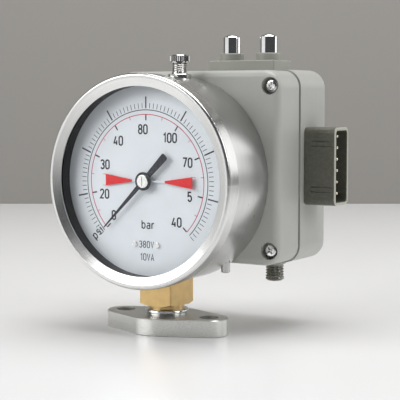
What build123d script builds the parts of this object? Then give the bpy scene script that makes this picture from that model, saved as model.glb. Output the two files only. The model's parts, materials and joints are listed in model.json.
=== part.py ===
from build123d import *
import os
from math import atan, cos, hypot, pi, radians, sin, sqrt, tan

# Pressure switch: a dial gauge with electric limit contacts on a two-bolt mounting flange, and a
# switch box with connector and two push buttons behind it.
# Millimetres. +Z is up, the dial faces -Y, +X is the connector's side. The origin is the centre of
# the pressure port in the flange's underside.

# ---- flange and socket ----
FLANGE_T = 9.0
FLANGE_PITCH = 52.0
FLANGE_END_R = 10.0
FLANGE_MID_R = 20.0
BOLT_HOLE_R = 5.0
SPIGOT_R = 7.0
PORT_R = 3.0
PORT_TOP = 42.0
SPACER_R = 10.6
WASHER_R = 11.6
WASHER_Z = 10.2
NECK_R = 9.2
NECK_Z = 12.0
SOCKET_FLATS = (19.5, 22.6)
SOCKET_Z = 14.0
SOCKET_FOOT_R = 11.9
SOCKET_FOOT_RISE = 1.2
SHANK_R = 8.0
SEAL_RING_R = 8.3
SEAL_SECTION_R = 0.9

# ---- gauge, about a line along Y ----
AXIS_Z = 80.0
BEZEL_R = 55.0
BEZEL_FRONT = -29.2
BEZEL_REAR = -20.0
BEZEL_CREST_R = 52.6
BEZEL_LIP_Y = -27.6
WINDOW_R = 48.4
CASE_R = 53.6
CASE_WALL = 1.2
CASE_FRONT = -24.4
CASE_REAR = 12.6
BACK_WALL = 1.5
GLASS_FRONT = -27.0
GLASS_REAR = -25.0
DIAL_FRONT = -19.0
DIAL_T = 0.8
DIAL_R = 52.0
DIAL_HOLE_R = 4.5
DIAL_LEDGE_R = 48.6
DIAL_LEDGE_T = 1.8
DIAL_SCREW_X = 6.8
DIAL_SCREW_R = 0.9
DIAL_SCREW_HEAD_R = 1.5
STANDOFF_STUB_R = 1.2
DIAL_SCREW_DROP = 32.6
CASE_INNER_R = CASE_R - CASE_WALL
CASE_FLOOR = CASE_REAR - BACK_WALL
STUD = (31.5, 7.5)
STUD_R = 2.3

# ---- movement ----
GEAR_MODULE = 0.3
PINION_TEETH = 14
SECTOR_TEETH = 112
PRESSURE_ANGLE = 25.0
GEAR_BACKLASH = 0.07
POINTER_SWEEP = 270.0
SECTOR_SWEEP = POINTER_SWEEP * PINION_TEETH / SECTOR_TEETH
PINION_R = GEAR_MODULE * PINION_TEETH / 2
SECTOR_R = GEAR_MODULE * SECTOR_TEETH / 2
SECTOR_Z = AXIS_Z - PINION_R - SECTOR_R
FRONT_PLATE = (-15.5, -14.3)
BACK_PLATE = (-8.4, -7.2)
SECTOR_LAYER = (-12.0, -10.8)
LINK_LAYER = (-10.4, -9.6)
TAIL_R = 8.0
TAIL_MID_ANGLE = -67.85
TAIL_PIN_R = 0.8
LINK_LENGTH = 26.95
TIP_SCREW_R = 0.9
TUBE_R = 38.0
TUBE_Y = -1.5
TUBE_WIDTH = 10.0
TUBE_DEPTH = 4.0
TUBE_WALL = 0.5
TUBE_END_ANGLE = -26.0
TUBE_ROOT_ANGLE = 260.0
CARRIER = (-10.0, 10.0, BACK_PLATE[1], 6.0, 34.0, 56.0)
MOVEMENT_SCREW_X = 7.5
MOVEMENT_SCREW_Z = 53.5
MOVEMENT_SCREW_R = 1.2
RUNNING = 0.05

# ---- pointers ----
BUSHING_R = 3.2
SLEEVE_WALL = 0.4
POINTER_LAYER = (-21.75, -21.45)
HUB_R = 4.7
HUB_T = 0.4
CAP_R = 3.5
CAP_T = 0.7
LOW_LAYER = -19.75
HIGH_LAYER = -20.75
SHEET_T = 0.3
LOW_FINGER_REAR = -17.1
HIGH_FINGER_REAR = -16.3
FINGER_R = 14.0
POINTER_TIP_R = 35.0
POINTER_TAIL_R = 18.9
POINTER_HALVES = (0.3, 1.35, 2.0)
POINTER_REST_ANGLE = 225.0
FLAG_LENGTH = 16.2
FLAG_HALF = 3.0
LOW_FLAG_R = 8.3
HIGH_FLAG_R = 12.6
LOW_ARM_R = 16.0
HIGH_ARM_R = 20.0
ARBOR_R = 0.8
ARBOR_FRONT = POINTER_LAYER[0] - 0.3

# ---- vent on top of the case ----
VENT = (5.6, 4.0)
VENT_HOLE_R = 3.0
VENT_BOSS_R = 6.2
VENT_BOSS_TOP = 134.7
VENT_STEM_R = 4.15
VENT_STEM_TOP = 142.4
VENT_CAP_R = 5.2
VENT_CAP_Z = 140.5
VENT_CAP_TOP = 145.3

# ---- switch box ----
COVER = (-40.0, 59.3, 36.0, 136.5)
COVER_CORNER_R = 9.0
LIP = 0.7
PARTING_FRONT = 35.6
PARTING_REAR = 36.4
BOX_REAR = 68.8
BOX_WALL = 2.8
COVER_FACE = 3.0
SCREW_INSET_X = 5.4
SCREW_INSET_Z = 8.0
RECESS_R = 4.5
RECESS_FLOOR = 17.2
COLUMN_R = 4.6
SCREW_R = 2.0
SCREW_HOLE_R = 2.2
SCREW_HEAD_R = 3.5
SCREW_HEAD_T = 2.6
SLOT_HALF = 0.45
CASE_SCREW_PCR = 30.0
GROMMET = (-14.0, 94.0)
GROMMET_HOLE_R = 6.0
BOARD_LAYER = (58.0, 59.6)
BASE_TOP = COVER[3] + LIP
BASE_BOTTOM = COVER[2] - LIP
BASE_RIGHT = COVER[1] + LIP
CEILING = BASE_TOP - BOX_WALL
REAR_WALL = BOX_REAR - BOX_WALL

# ---- buttons ----
BUTTON_X = (10.1, 32.9)
BUTTON_Y = 51.0
BUTTON_R = 4.9
BUTTON_TOP = 157.4
DOME_RISE = 2.0
BUTTON_SEAT = 142.2
STEM_R = 1.6
BUTTON_PLATE = (1.35, 41.65, 41.0, 61.0)
PLATE_TOP = 142.6
COLLAR_R = 6.6
COLLAR_TOP = 146.6
SHELF_Z = 120.5

# ---- connector and nipple ----
CONN_Y = (40.3, 57.2)
CONN_Z = (66.0, 107.0)
CONN_MOUTH = 77.8
CONN_WALL = 1.6
CONN_CORNER_R = 3.2
CONN_GROOVES = (64.4, 75.6)
PIN_R = 0.8
PIN_PITCH = 6.0
PIN_COUNT = 6
PIN_Y = 46.6
PIN_MIDDLE_Z = 87.4
NIPPLE = (40.0, 46.0)
NIPPLE_R = 5.0
NIPPLE_BORE_R = 3.0
NIPPLE_COLLAR_R = 6.3
NIPPLE_END = 24.0
NIPPLE_TOP = 43.0


# ---- shapes used again and again ----
def block(x0, x1, y0, y1, z0, z1):
    return Pos((x0 + x1) / 2, (y0 + y1) / 2, (z0 + z1) / 2) * Box(x1 - x0, y1 - y0, z1 - z0)


def rod_x(r, x0, x1, y, z):
    return Pos((x0 + x1) / 2, y, z) * Rot(0, 90, 0) * Cylinder(r, x1 - x0)


def rod_y(r, y0, y1, x, z):
    return Pos(x, (y0 + y1) / 2, z) * Rot(90, 0, 0) * Cylinder(r, y1 - y0)


def rod_z(r, z0, z1, x, y):
    return Pos(x, y, (z0 + z1) / 2) * Cylinder(r, z1 - z0)


def turned_y(outline, x=0.0, z=AXIS_Z):
    """A solid turned about a line along Y; outline holds (radius, y) points."""
    return Pos(x, 0, z) * revolve(make_face(Polyline(*outline, close=True)), Axis.Y)


def turned_z(outline, x=0.0, y=0.0):
    """A solid turned about a line along Z; outline holds (radius, z) points."""
    return Pos(x, y, 0) * revolve(make_face(Plane.XZ * Polyline(*outline, close=True)), Axis.Z)


def plate_y(sketch, y0, y1):
    """A sketch in X and Z, given thickness from y0 to y1."""
    return Pos(0, y1, 0) * extrude(Plane.XZ * sketch, y1 - y0)


def plate_x(sketch, x0, x1):
    """A sketch in Y and Z, given thickness from x0 to x1."""
    return Pos(x0, 0, 0) * extrude(Plane.YZ * sketch, x1 - x0)


def rounded(x0, x1, z0, z1, r):
    return Pos((x0 + x1) / 2, (z0 + z1) / 2) * RectangleRounded(x1 - x0, z1 - z0, r)


def polar(radius, angle, z=AXIS_Z):
    """(x, z) of a point at an angle, anticlockwise from +X as seen from the front."""
    return radius * cos(radians(angle)), z + radius * sin(radians(angle))


def ring_y(r_out, r_in, y0, y1, x=0.0, z=AXIS_Z):
    return rod_y(r_out, y0, y1, x, z) - rod_y(r_in, y0 - 1, y1 + 1, x, z)


def ring_z(r_out, r_in, z0, z1, x=0.0, y=0.0):
    return rod_z(r_out, z0, z1, x, y) - rod_z(r_in, z0 - 1, z1 + 1, x, y)


def turn_about(angle, z, shape):
    """Turns a shape anticlockwise, as seen from the front, about a line along Y at height z."""
    return Pos(0, 0, z) * Rot(0, -angle, 0) * Pos(0, 0, -z) * shape


# ---- flange and socket ----
def flange_outline():
    c = FLANGE_PITCH / 2
    slope = (FLANGE_MID_R - FLANGE_END_R) / c
    rise = sqrt(1 - slope ** 2)
    sketch = Sketch() + Circle(FLANGE_MID_R)
    for side in (-1, 1):
        mid_x, mid_y = side * FLANGE_MID_R * slope, side * FLANGE_MID_R * rise
        end_x, end_y = side * (c + FLANGE_END_R * slope), side * FLANGE_END_R * rise
        quad = Polygon((mid_x, -mid_y), (end_x, -end_y), (end_x, end_y), (mid_x, mid_y), align=None)
        sketch += [Pos(side * c, 0) * Circle(FLANGE_END_R), quad]
    return sketch


def flange_plate():
    plate = extrude(flange_outline(), FLANGE_T, dir=(0, 0, 1))
    rims = plate.edges().group_by(Axis.Z)
    plate = chamfer(rims[0] + rims[-1], 0.5)
    for side in (-1, 1):
        plate -= rod_z(BOLT_HOLE_R, -1, FLANGE_T + 1, side * FLANGE_PITCH / 2, 0)
    plate -= rod_z(SPIGOT_R, -1, FLANGE_T + 1, 0, 0)
    return plate - rod_z(SEAL_RING_R + SEAL_SECTION_R + 0.1, -1, 2 * SEAL_SECTION_R, 0, 0)


def port_seal():
    return Pos(0, 0, SEAL_SECTION_R) * Torus(SEAL_RING_R, SEAL_SECTION_R)


def spacer_ring():
    ring = ring_z(SPACER_R, SPIGOT_R, FLANGE_T, WASHER_Z)
    return chamfer(ring.edges().filter_by(GeomType.CIRCLE).group_by(SortBy.RADIUS)[-1], 0.3)


def sealing_washer():
    ring = ring_z(WASHER_R, SPIGOT_R, WASHER_Z, NECK_Z)
    return fillet(ring.edges().filter_by(GeomType.CIRCLE).group_by(SortBy.RADIUS)[-1], 0.8)


def tube_outer(grow=0.0):
    """The bent tube as one bar, from its root in the socket round to its free end."""
    section = Pos(TUBE_R, TUBE_Y) * Rot(0, 0, 90) * SlotOverall(TUBE_WIDTH + grow, TUBE_DEPTH + grow)
    arc = TUBE_ROOT_ANGLE - TUBE_END_ANGLE
    return Pos(0, 0, AXIS_Z) * Rot(0, -TUBE_ROOT_ANGLE, 0) * revolve(section, Axis.Y, arc)


def socket_block():
    half_x, half_y = SOCKET_FLATS[0] / 2, SOCKET_FLATS[1] / 2
    top = CARRIER[4]
    square = block(-half_x, half_x, -half_y, half_y, SOCKET_Z, top)
    square = fillet(square.edges().filter_by(Axis.Z), 0.8)
    corner = hypot(half_x, half_y)
    cone = turned_z([(0, SOCKET_Z), (SOCKET_FOOT_R, SOCKET_Z), (corner, SOCKET_Z + SOCKET_FOOT_RISE),
                     (corner, top), (0, top)])
    body = (square & cone) - rod_y(CASE_R, -30, 30, 0, AXIS_Z)
    body += rod_z(SPIGOT_R, 0, SOCKET_Z + 1, 0, 0) + rod_z(NECK_R, NECK_Z, SOCKET_Z + 1, 0, 0)
    body += rod_z(SHANK_R, SOCKET_Z + 5, top + 1, 0, 0)
    body += block(*CARRIER)
    body -= rod_z(PORT_R, -1, PORT_TOP, 0, 0)
    body -= rod_x(1.0, -9, 0, TUBE_Y, PORT_TOP)
    for side in (-1, 1):
        body -= rod_y(MOVEMENT_SCREW_R, CARRIER[2] - 1, 0, side * MOVEMENT_SCREW_X, MOVEMENT_SCREW_Z)
        body -= rod_y(STANDOFF_STUB_R, CARRIER[2] - 1, -2, side * DIAL_SCREW_X, AXIS_Z - DIAL_SCREW_DROP)
    return body - tube_outer()


# ---- gauge housing ----
def case_screw_places():
    return [polar(CASE_SCREW_PCR, a) for a in (90, 210, 330)]


def gauge_case():
    ledge = (DIAL_FRONT + DIAL_T, DIAL_FRONT + DIAL_T + DIAL_LEDGE_T)
    shell = turned_y([(CASE_INNER_R, CASE_FRONT), (CASE_R, CASE_FRONT), (CASE_R, CASE_REAR), (0, CASE_REAR),
                      (0, CASE_FLOOR), (CASE_INNER_R, CASE_FLOOR), (CASE_INNER_R, ledge[1]),
                      (DIAL_LEDGE_R, ledge[1]), (DIAL_LEDGE_R, ledge[0]), (CASE_INNER_R, ledge[0])])
    for x, z in case_screw_places():
        shell += rod_y(4.5, 3.7, CASE_FLOOR + 0.5, x, z)
        shell -= rod_y(SCREW_R, 4.5, CASE_REAR + 1, x, z)
    shell -= rod_y(GROMMET_HOLE_R, CASE_FLOOR - 1, CASE_REAR + 1, *GROMMET)
    shell -= rod_z(SHANK_R, 20, 40, 0, 0)
    shell -= rod_z(VENT_HOLE_R, 125, 140, *VENT)
    return shell - rod_z(STUD_R, 30, 42, *STUD)


def case_stud():
    stud = rod_z(STUD_R, 32.0, 41.0, *STUD)
    return chamfer(stud.edges().group_by(Axis.Z)[0], 0.4)


def bezel_ring():
    """Its front face slopes back from the crest to the window, and its skirt slides over the case."""
    skirt = CASE_R + RUNNING
    ring = turned_y([(WINDOW_R, GLASS_FRONT), (WINDOW_R, BEZEL_LIP_Y), (BEZEL_CREST_R, BEZEL_FRONT),
                     (BEZEL_R, BEZEL_FRONT), (BEZEL_R, BEZEL_REAR), (skirt, BEZEL_REAR), (skirt, GLASS_FRONT)])
    rims = ring.edges().filter_by(GeomType.CIRCLE).group_by(SortBy.RADIUS)[-1].sort_by(Axis.Y)
    ring = fillet(rims[0], 1.5)
    rims = ring.edges().filter_by(GeomType.CIRCLE).group_by(SortBy.RADIUS)[-1].sort_by(Axis.Y)
    return chamfer(rims[-1], 0.4)


def window_glass():
    return rod_y(CASE_R - 0.2, GLASS_FRONT, GLASS_REAR, 0, AXIS_Z)


def window_gasket():
    return ring_y(CASE_R - 0.1, CASE_INNER_R + 0.1, GLASS_REAR, CASE_FRONT)


def inner_ring():
    return ring_y(CASE_INNER_R - 0.2, WINDOW_R + 0.4, GLASS_REAR, DIAL_FRONT)


def dial_screw_places():
    return [(side * DIAL_SCREW_X, AXIS_Z - DIAL_SCREW_DROP) for side in (-1, 1)]


def dial_plate():
    plate = rod_y(DIAL_R, DIAL_FRONT, DIAL_FRONT + DIAL_T, 0, AXIS_Z)
    plate -= rod_y(DIAL_HOLE_R, DIAL_FRONT - 1, 0, 0, AXIS_Z)
    for x, z in dial_screw_places():
        plate -= rod_y(DIAL_SCREW_R, DIAL_FRONT - 1, 0, x, z)
    return plate


def dial_screws():
    group = []
    for x, z in dial_screw_places():
        screw = rod_y(DIAL_SCREW_HEAD_R, DIAL_FRONT - 0.8, DIAL_FRONT, x, z)
        screw = fillet(screw.edges().group_by(Axis.Y)[0], 0.3)
        screw += rod_y(DIAL_SCREW_R, DIAL_FRONT, -14.0, x, z)
        group.append(screw - block(x - 2, x + 2, DIAL_FRONT - 1, DIAL_FRONT - 0.4, z - 0.25, z + 0.25))
    return Compound(children=group)


def dial_standoffs():
    group = []
    for x, z in dial_screw_places():
        post = rod_y(2.4, DIAL_FRONT + DIAL_T, CARRIER[2], x, z)
        post += rod_y(STANDOFF_STUB_R, CARRIER[2], -3.0, x, z)
        group.append(post - rod_y(DIAL_SCREW_R, DIAL_FRONT, -13.5, x, z))
    return Compound(children=group)


# ---- movement ----
def tooth_flank(radius, teeth, steps=6, addendum=0.9, dedendum=1.25):
    """(radius, half tooth angle) along one flank of an involute tooth, root to tip."""
    base = radius * cos(radians(PRESSURE_ANGLE))
    inv = tan(radians(PRESSURE_ANGLE)) - radians(PRESSURE_ANGLE)
    half = pi / (2 * teeth) - GEAR_BACKLASH / (2 * radius) + inv
    root, tip = radius - dedendum * GEAR_MODULE, radius + addendum * GEAR_MODULE
    flank = [(root, half)] if root < base else []
    low = max(root, base)
    for i in range(steps + 1):
        r = low + (tip - low) * i / steps
        roll = sqrt(max((r / base) ** 2 - 1, 0))
        flank.append((r, half - (roll - atan(roll))))
    return flank


def toothed_arc(radius, teeth, first, count, start_angle):
    """Outline points over some teeth; tooth k is centred at start_angle + k pitches (degrees)."""
    flank = tooth_flank(radius, teeth)
    points = []
    for k in range(first, first + count):
        middle = radians(start_angle) + 2 * pi * k / teeth
        for r, half in flank:
            points.append((r * cos(middle - half), r * sin(middle - half)))
        for r, half in reversed(flank):
            points.append((r * cos(middle + half), r * sin(middle + half)))
    return points


def pinion_arbor():
    start = -90 + 180 / PINION_TEETH
    outline = toothed_arc(PINION_R, PINION_TEETH, 0, PINION_TEETH, start)
    wheel = Pos(0, AXIS_Z) * Polygon(*outline, align=None)
    gear = plate_y(wheel, SECTOR_LAYER[0] - 0.2, SECTOR_LAYER[1] + 0.2)
    return gear + rod_y(ARBOR_R, ARBOR_FRONT, BACK_PLATE[1] - 0.2, 0, AXIS_Z)


def tail_pin(turn=0.0):
    """(x, z) of the sector's tail pin after the sector has turned by an angle."""
    rest = TAIL_MID_ANGLE - SECTOR_SWEEP / 2
    return polar(TAIL_R, rest + turn, SECTOR_Z)


def sector_gear():
    pitch = 360 / SECTOR_TEETH
    margin = 2
    count = int(SECTOR_SWEEP / pitch) + 1 + 2 * margin
    first = -(count - 1 - margin)
    outline = toothed_arc(SECTOR_R, SECTOR_TEETH, first, count, 90)
    teeth = Polygon((0, 0), *outline, align=None)
    slot_mid = 90 + (first + count / 2) * pitch
    web = teeth + Circle(2.6)
    x, z = tail_pin()
    tail = Pos(x / 2, (z - SECTOR_Z) / 2) * Rot(0, 0, TAIL_MID_ANGLE - SECTOR_SWEEP / 2)
    web += tail * SlotOverall(TAIL_R + 3.2, 3.2)
    window = Pos(*polar(9.0, slot_mid, 0)) * Circle(2.4)
    gear = Pos(0, 0, SECTOR_Z) * plate_y(web - window, *SECTOR_LAYER)
    gear += rod_y(2.4, SECTOR_LAYER[0] - 1.0, SECTOR_LAYER[1], 0, SECTOR_Z)
    gear += rod_y(1.0, FRONT_PLATE[0] + 0.1, BACK_PLATE[1] - 0.1, 0, SECTOR_Z)
    return gear + rod_y(TAIL_PIN_R, SECTOR_LAYER[0], LINK_LAYER[1] + 0.3, x, z)


def link_direction():
    angle = radians(TAIL_MID_ANGLE + 90)
    return cos(angle), sin(angle)


def tip_screw_place():
    x, z = tail_pin(SECTOR_SWEEP / 2)
    ux, uz = link_direction()
    return x + LINK_LENGTH * ux, z + LINK_LENGTH * uz


def link_rod():
    """The link keeps its direction as the sector turns, so its far end has a slot as long as its stroke."""
    x0, z0 = tail_pin()
    x1, z1 = tail_pin(SECTOR_SWEEP)
    stroke = sqrt((x1 - x0) ** 2 + (z1 - z0) ** 2)
    ux, uz = link_direction()
    tx, tz = tip_screw_place()
    cx, cz = tx - stroke / 2 * ux, tz - stroke / 2 * uz
    lean = Rot(0, 0, TAIL_MID_ANGLE + 90)
    play = TIP_SCREW_R + 0.65
    bar_x, bar_z = (x0 + cx) / 2, (z0 + cz) / 2
    length = sqrt((cx - x0) ** 2 + (cz - z0) ** 2)
    sketch = Pos(bar_x, bar_z) * lean * Rectangle(length, 2.2)
    sketch += Pos(x0, z0) * Circle(1.9)
    sketch += Pos(cx, cz) * lean * SlotOverall(stroke + 2 * (play + 1.0), 2 * (play + 1.0))
    sketch -= Pos(x0, z0) * Circle(TAIL_PIN_R + RUNNING)
    sketch -= Pos(cx, cz) * lean * SlotOverall(stroke + 2 * play, 2 * play)
    return plate_y(sketch, *LINK_LAYER)


def bourdon_tube():
    return tube_outer() - tube_outer(-2 * TUBE_WALL)


def tube_tip():
    """End block of the tube with the screw that the link's slot runs on."""
    x, z = tip_screw_place()
    low_y, high_y = TUBE_Y - TUBE_WIDTH / 2, TUBE_Y + TUBE_WIDTH / 2
    cap = block(30.0, 41.0, low_y, high_y, AXIS_Z - 6.0, AXIS_Z)
    body = turn_about(TUBE_END_ANGLE, AXIS_Z, cap)
    body += rod_y(2.2, LINK_LAYER[1] + 0.4, low_y + 3, x, z)
    body += rod_y(TIP_SCREW_R, LINK_LAYER[0] - 0.5, low_y, x, z)
    return body + rod_y(1.7, LINK_LAYER[0] - 1.1, LINK_LAYER[0] - 0.4, x, z)


def movement_plate(y0, y1, z0, arbor_r):
    z1 = AXIS_Z + 10.5
    plate = plate_y(rounded(-11, 11, z0, z1, 2.0), y0, y1)
    plate -= rod_y(1.0 + RUNNING, y0 - 1, y1 + 1, 0, SECTOR_Z)
    return plate - rod_y(arbor_r, y0 - 1, y1 + 1, 0, AXIS_Z)


def movement_front_plate():
    return movement_plate(*FRONT_PLATE, 55.0, 3.0)


def movement_back_plate():
    plate = movement_plate(*BACK_PLATE, 50.6, ARBOR_R + RUNNING)
    for side in (-1, 1):
        plate -= rod_y(MOVEMENT_SCREW_R, BACK_PLATE[0] - 1, 0, side * MOVEMENT_SCREW_X, MOVEMENT_SCREW_Z)
    return plate


def movement_screws():
    group = []
    for side in (-1, 1):
        x = side * MOVEMENT_SCREW_X
        screw = rod_y(2.1, BACK_PLATE[0] - 0.8, BACK_PLATE[0], x, MOVEMENT_SCREW_Z)
        screw += rod_y(MOVEMENT_SCREW_R, BACK_PLATE[0], -2.5, x, MOVEMENT_SCREW_Z)
        slot = block(x - 2.2, x + 2.2, BACK_PLATE[0] - 1, BACK_PLATE[0] - 0.4,
                     MOVEMENT_SCREW_Z - 0.25, MOVEMENT_SCREW_Z + 0.25)
        group.append(screw - slot)
    return Compound(children=group)


def movement_pillars():
    places = [(-8.5, 58.0), (-6.5, 87.0), (6.5, 87.0)]
    return Compound(children=[rod_y(1.8, FRONT_PLATE[1], BACK_PLATE[0], x, z) for x, z in places])


def hairspring():
    """Flat spiral round the pointer's arbor, its outer end held by a small stud."""
    turns, strip, r_in, r_out = 4, 0.16, 1.6, 5.6
    steps = 24 * turns
    inner, outer = [], []
    for i in range(steps + 1):
        angle = 2 * pi * turns * i / steps
        r = r_in + (r_out - r_in) * i / steps
        inner.append(((r - strip / 2) * cos(angle), (r - strip / 2) * sin(angle)))
        outer.append(((r + strip / 2) * cos(angle), (r + strip / 2) * sin(angle)))
    spiral = Pos(0, AXIS_Z) * Polygon(*inner, *reversed(outer), align=None)
    stud = block(5.3, 6.5, FRONT_PLATE[1], -12.9, AXIS_Z - 0.6, AXIS_Z + 0.6)
    return plate_y(spiral, -13.6, -12.9) + stud


# ---- pointers ----
def pointer_bushing():
    body = rod_y(BUSHING_R, POINTER_LAYER[1] + 0.35, FRONT_PLATE[0], 0, AXIS_Z)
    body += rod_y(3.0, FRONT_PLATE[0], FRONT_PLATE[1], 0, AXIS_Z)
    body -= rod_y(1.6, -30, FRONT_PLATE[0], 0, AXIS_Z)
    return body - rod_y(ARBOR_R + RUNNING, -30, 0, 0, AXIS_Z)


def pointer():
    tip, middle, tail = POINTER_HALVES
    blade = Polygon((-POINTER_TIP_R, -tip), (0, -middle), (POINTER_TAIL_R, -tail), (POINTER_TAIL_R, tail),
                    (0, middle), (-POINTER_TIP_R, tip), align=None)
    blade = fillet(blade.vertices().group_by(Axis.X)[-1], 0.9)
    sketch = Pos(0, AXIS_Z) * Rot(0, 0, POINTER_REST_ANGLE - 180) * blade + Pos(0, AXIS_Z) * Circle(HUB_R)
    body = plate_y(sketch, *POINTER_LAYER)
    body += rod_y(HUB_R, POINTER_LAYER[0] - HUB_T, POINTER_LAYER[0], 0, AXIS_Z)
    return body - rod_y(ARBOR_R, ARBOR_FRONT, 0, 0, AXIS_Z)


def pointer_cap():
    y = POINTER_LAYER[0] - HUB_T
    cap = rod_y(CAP_R, y - CAP_T, y, 0, AXIS_Z)
    cap = fillet(cap.edges().group_by(Axis.Y)[0], 0.5)
    return cap - block(-0.35, 0.35, y - CAP_T - 1, y - CAP_T + 0.3, AXIS_Z - 2.4, AXIS_Z + 2.4)


def contact_arm():
    strip = Pos(0, AXIS_Z) * Rot(0, 0, POINTER_REST_ANGLE - 180) * Pos(7.5, 0) * Rectangle(12, 1.4)
    sketch = strip + Pos(0, AXIS_Z) * Circle(2.4) - Pos(0, AXIS_Z) * Circle(ARBOR_R)
    return plate_y(sketch, POINTER_LAYER[1], POINTER_LAYER[1] + 0.15)


def set_flag(tip_r, side, y_front):
    """Red index plate: a blunt wedge whose narrow end points at the dial's centre."""
    wide = tip_r + FLAG_LENGTH
    wedge = Polygon((tip_r, -0.55), (wide, -FLAG_HALF), (wide, FLAG_HALF), (tip_r, 0.55), align=None)
    turn = Rot(0, 0, 0 if side > 0 else 180)
    for edge in (0.1 - FLAG_HALF, FLAG_HALF - 0.1):
        wedge += Pos(wide + 0.75, edge) * Rectangle(2.2, 0.25)
    return plate_y(Pos(0, AXIS_Z) * turn * wedge, y_front, y_front + SHEET_T)


def contact_sleeve(r_in, r_out, y_arm, y_rear, reach, side):
    """Sleeve that turns on the bushing, with the arm in front of the dial and the contact finger behind it."""
    sleeve = ring_y(r_out, r_in, y_arm, y_rear)
    hole = Pos(0, AXIS_Z) * Circle(r_in)
    arm = Pos(side * (reach + r_out) / 2, AXIS_Z) * Rectangle(reach - r_out + 0.3, 0.8)
    arm += Pos(0, AXIS_Z) * Circle(r_out + 0.5)
    finger = Pos(side * (FINGER_R + r_out) / 2, AXIS_Z) * Rectangle(FINGER_R - r_out + 0.3, 1.4)
    finger += Pos(side * (FINGER_R - 0.8), AXIS_Z) * Circle(1.2)
    sleeve += plate_y(arm - hole, y_arm, y_arm + SHEET_T)
    return sleeve + plate_y(finger - hole, y_rear - 0.4, y_rear)


def low_set_pointer():
    return set_flag(LOW_FLAG_R, -1, LOW_LAYER - SHEET_T)


def high_set_pointer():
    return set_flag(HIGH_FLAG_R, 1, HIGH_LAYER - SHEET_T)


def high_contact_sleeve():
    bore = BUSHING_R + RUNNING
    return contact_sleeve(bore, bore + SLEEVE_WALL, HIGH_LAYER, HIGH_FINGER_REAR, HIGH_ARM_R, 1)


def low_contact_sleeve():
    bore = BUSHING_R + SLEEVE_WALL + 2 * RUNNING
    return contact_sleeve(bore, bore + SLEEVE_WALL, LOW_LAYER, LOW_FINGER_REAR, LOW_ARM_R, -1)


# ---- vent ----
def vent_boss():
    boss = rod_z(VENT_BOSS_R, 131, VENT_BOSS_TOP, *VENT) - rod_y(CASE_R, -30, 30, 0, AXIS_Z)
    boss = chamfer(boss.edges().group_by(Axis.Z)[-1], 0.3)
    return boss - rod_z(VENT_HOLE_R, 125, 140, *VENT)


def vent_stem():
    foot = VENT_BOSS_TOP - 4.1
    return turned_z([(0, foot), (VENT_HOLE_R, foot), (VENT_HOLE_R, VENT_BOSS_TOP), (VENT_STEM_R, VENT_BOSS_TOP),
                     (VENT_STEM_R, VENT_STEM_TOP), (0, VENT_STEM_TOP)], *VENT)


def vent_cap():
    knurls = 40
    outline = []
    for i in range(2 * knurls):
        r = VENT_CAP_R - (0.3 if i % 2 else 0)
        outline.append((r * cos(pi * i / knurls), r * sin(pi * i / knurls)))
    grip = Pos(*VENT, VENT_CAP_Z) * extrude(Polygon(*outline, align=None), VENT_CAP_TOP - VENT_CAP_Z)
    rim = VENT_CAP_TOP - 1.1
    shape = turned_z([(0, VENT_CAP_Z), (VENT_CAP_R - 0.3, VENT_CAP_Z), (VENT_CAP_R, VENT_CAP_Z + 0.3),
                      (VENT_CAP_R, rim), (VENT_CAP_R - 0.5, rim + 0.4), (3.0, VENT_CAP_TOP - 0.2),
                      (1.5, VENT_CAP_TOP), (0, VENT_CAP_TOP)], *VENT)
    return (grip & shape) - rod_z(VENT_STEM_R + RUNNING, VENT_CAP_Z - 1, VENT_STEM_TOP + 0.3, *VENT)


# ---- switch box ----
def cover_screw_places():
    x0, x1, z0, z1 = COVER
    xs = (x0 + SCREW_INSET_X, x1 - SCREW_INSET_X)
    zs = (z0 + SCREW_INSET_Z, z1 - SCREW_INSET_Z)
    return [(x, z) for x in xs for z in zs]


def box_outline(grow):
    x0, x1, z0, z1 = COVER
    return rounded(x0 - grow, x1 + grow, z0 - grow, z1 + grow, COVER_CORNER_R + grow)


def box_cover():
    shell = plate_y(box_outline(0), CASE_REAR, PARTING_FRONT)
    shell = fillet(shell.edges().group_by(Axis.Y)[0], 3.6)
    shell -= plate_y(box_outline(-BOX_WALL), CASE_REAR + COVER_FACE, PARTING_FRONT + 1)
    for x, z in cover_screw_places():
        column = rod_y(6.0, CASE_REAR + 1, RECESS_FLOOR + 2, x, z)
        column += rod_y(COLUMN_R, RECESS_FLOOR, PARTING_FRONT, x, z)
        shell += column & plate_y(box_outline(-1), CASE_REAR + 1, PARTING_FRONT)
    for x, z in cover_screw_places():
        shell -= rod_y(RECESS_R, CASE_REAR - 1, RECESS_FLOOR, x, z)
        shell -= rod_y(SCREW_HOLE_R, RECESS_FLOOR - 1, PARTING_FRONT + 1, x, z)
    for x, z in case_screw_places():
        shell -= rod_y(SCREW_HOLE_R, CASE_REAR - 1, CASE_REAR + COVER_FACE + 1, x, z)
    return shell - rod_y(GROMMET_HOLE_R, CASE_REAR - 1, CASE_REAR + COVER_FACE + 1, *GROMMET)


def board_screw_places():
    return [(x, z) for x in (-26.0, 41.0) for z in (50.0, 106.0)]


def connector_outline(grow):
    y0, y1 = CONN_Y
    z0, z1 = CONN_Z
    return rounded(y0 - grow, y1 + grow, z0 - grow, z1 + grow, CONN_CORNER_R + grow)


def plate_screw_places():
    return [(21.5, 46.0), (21.5, 56.0)]


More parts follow.
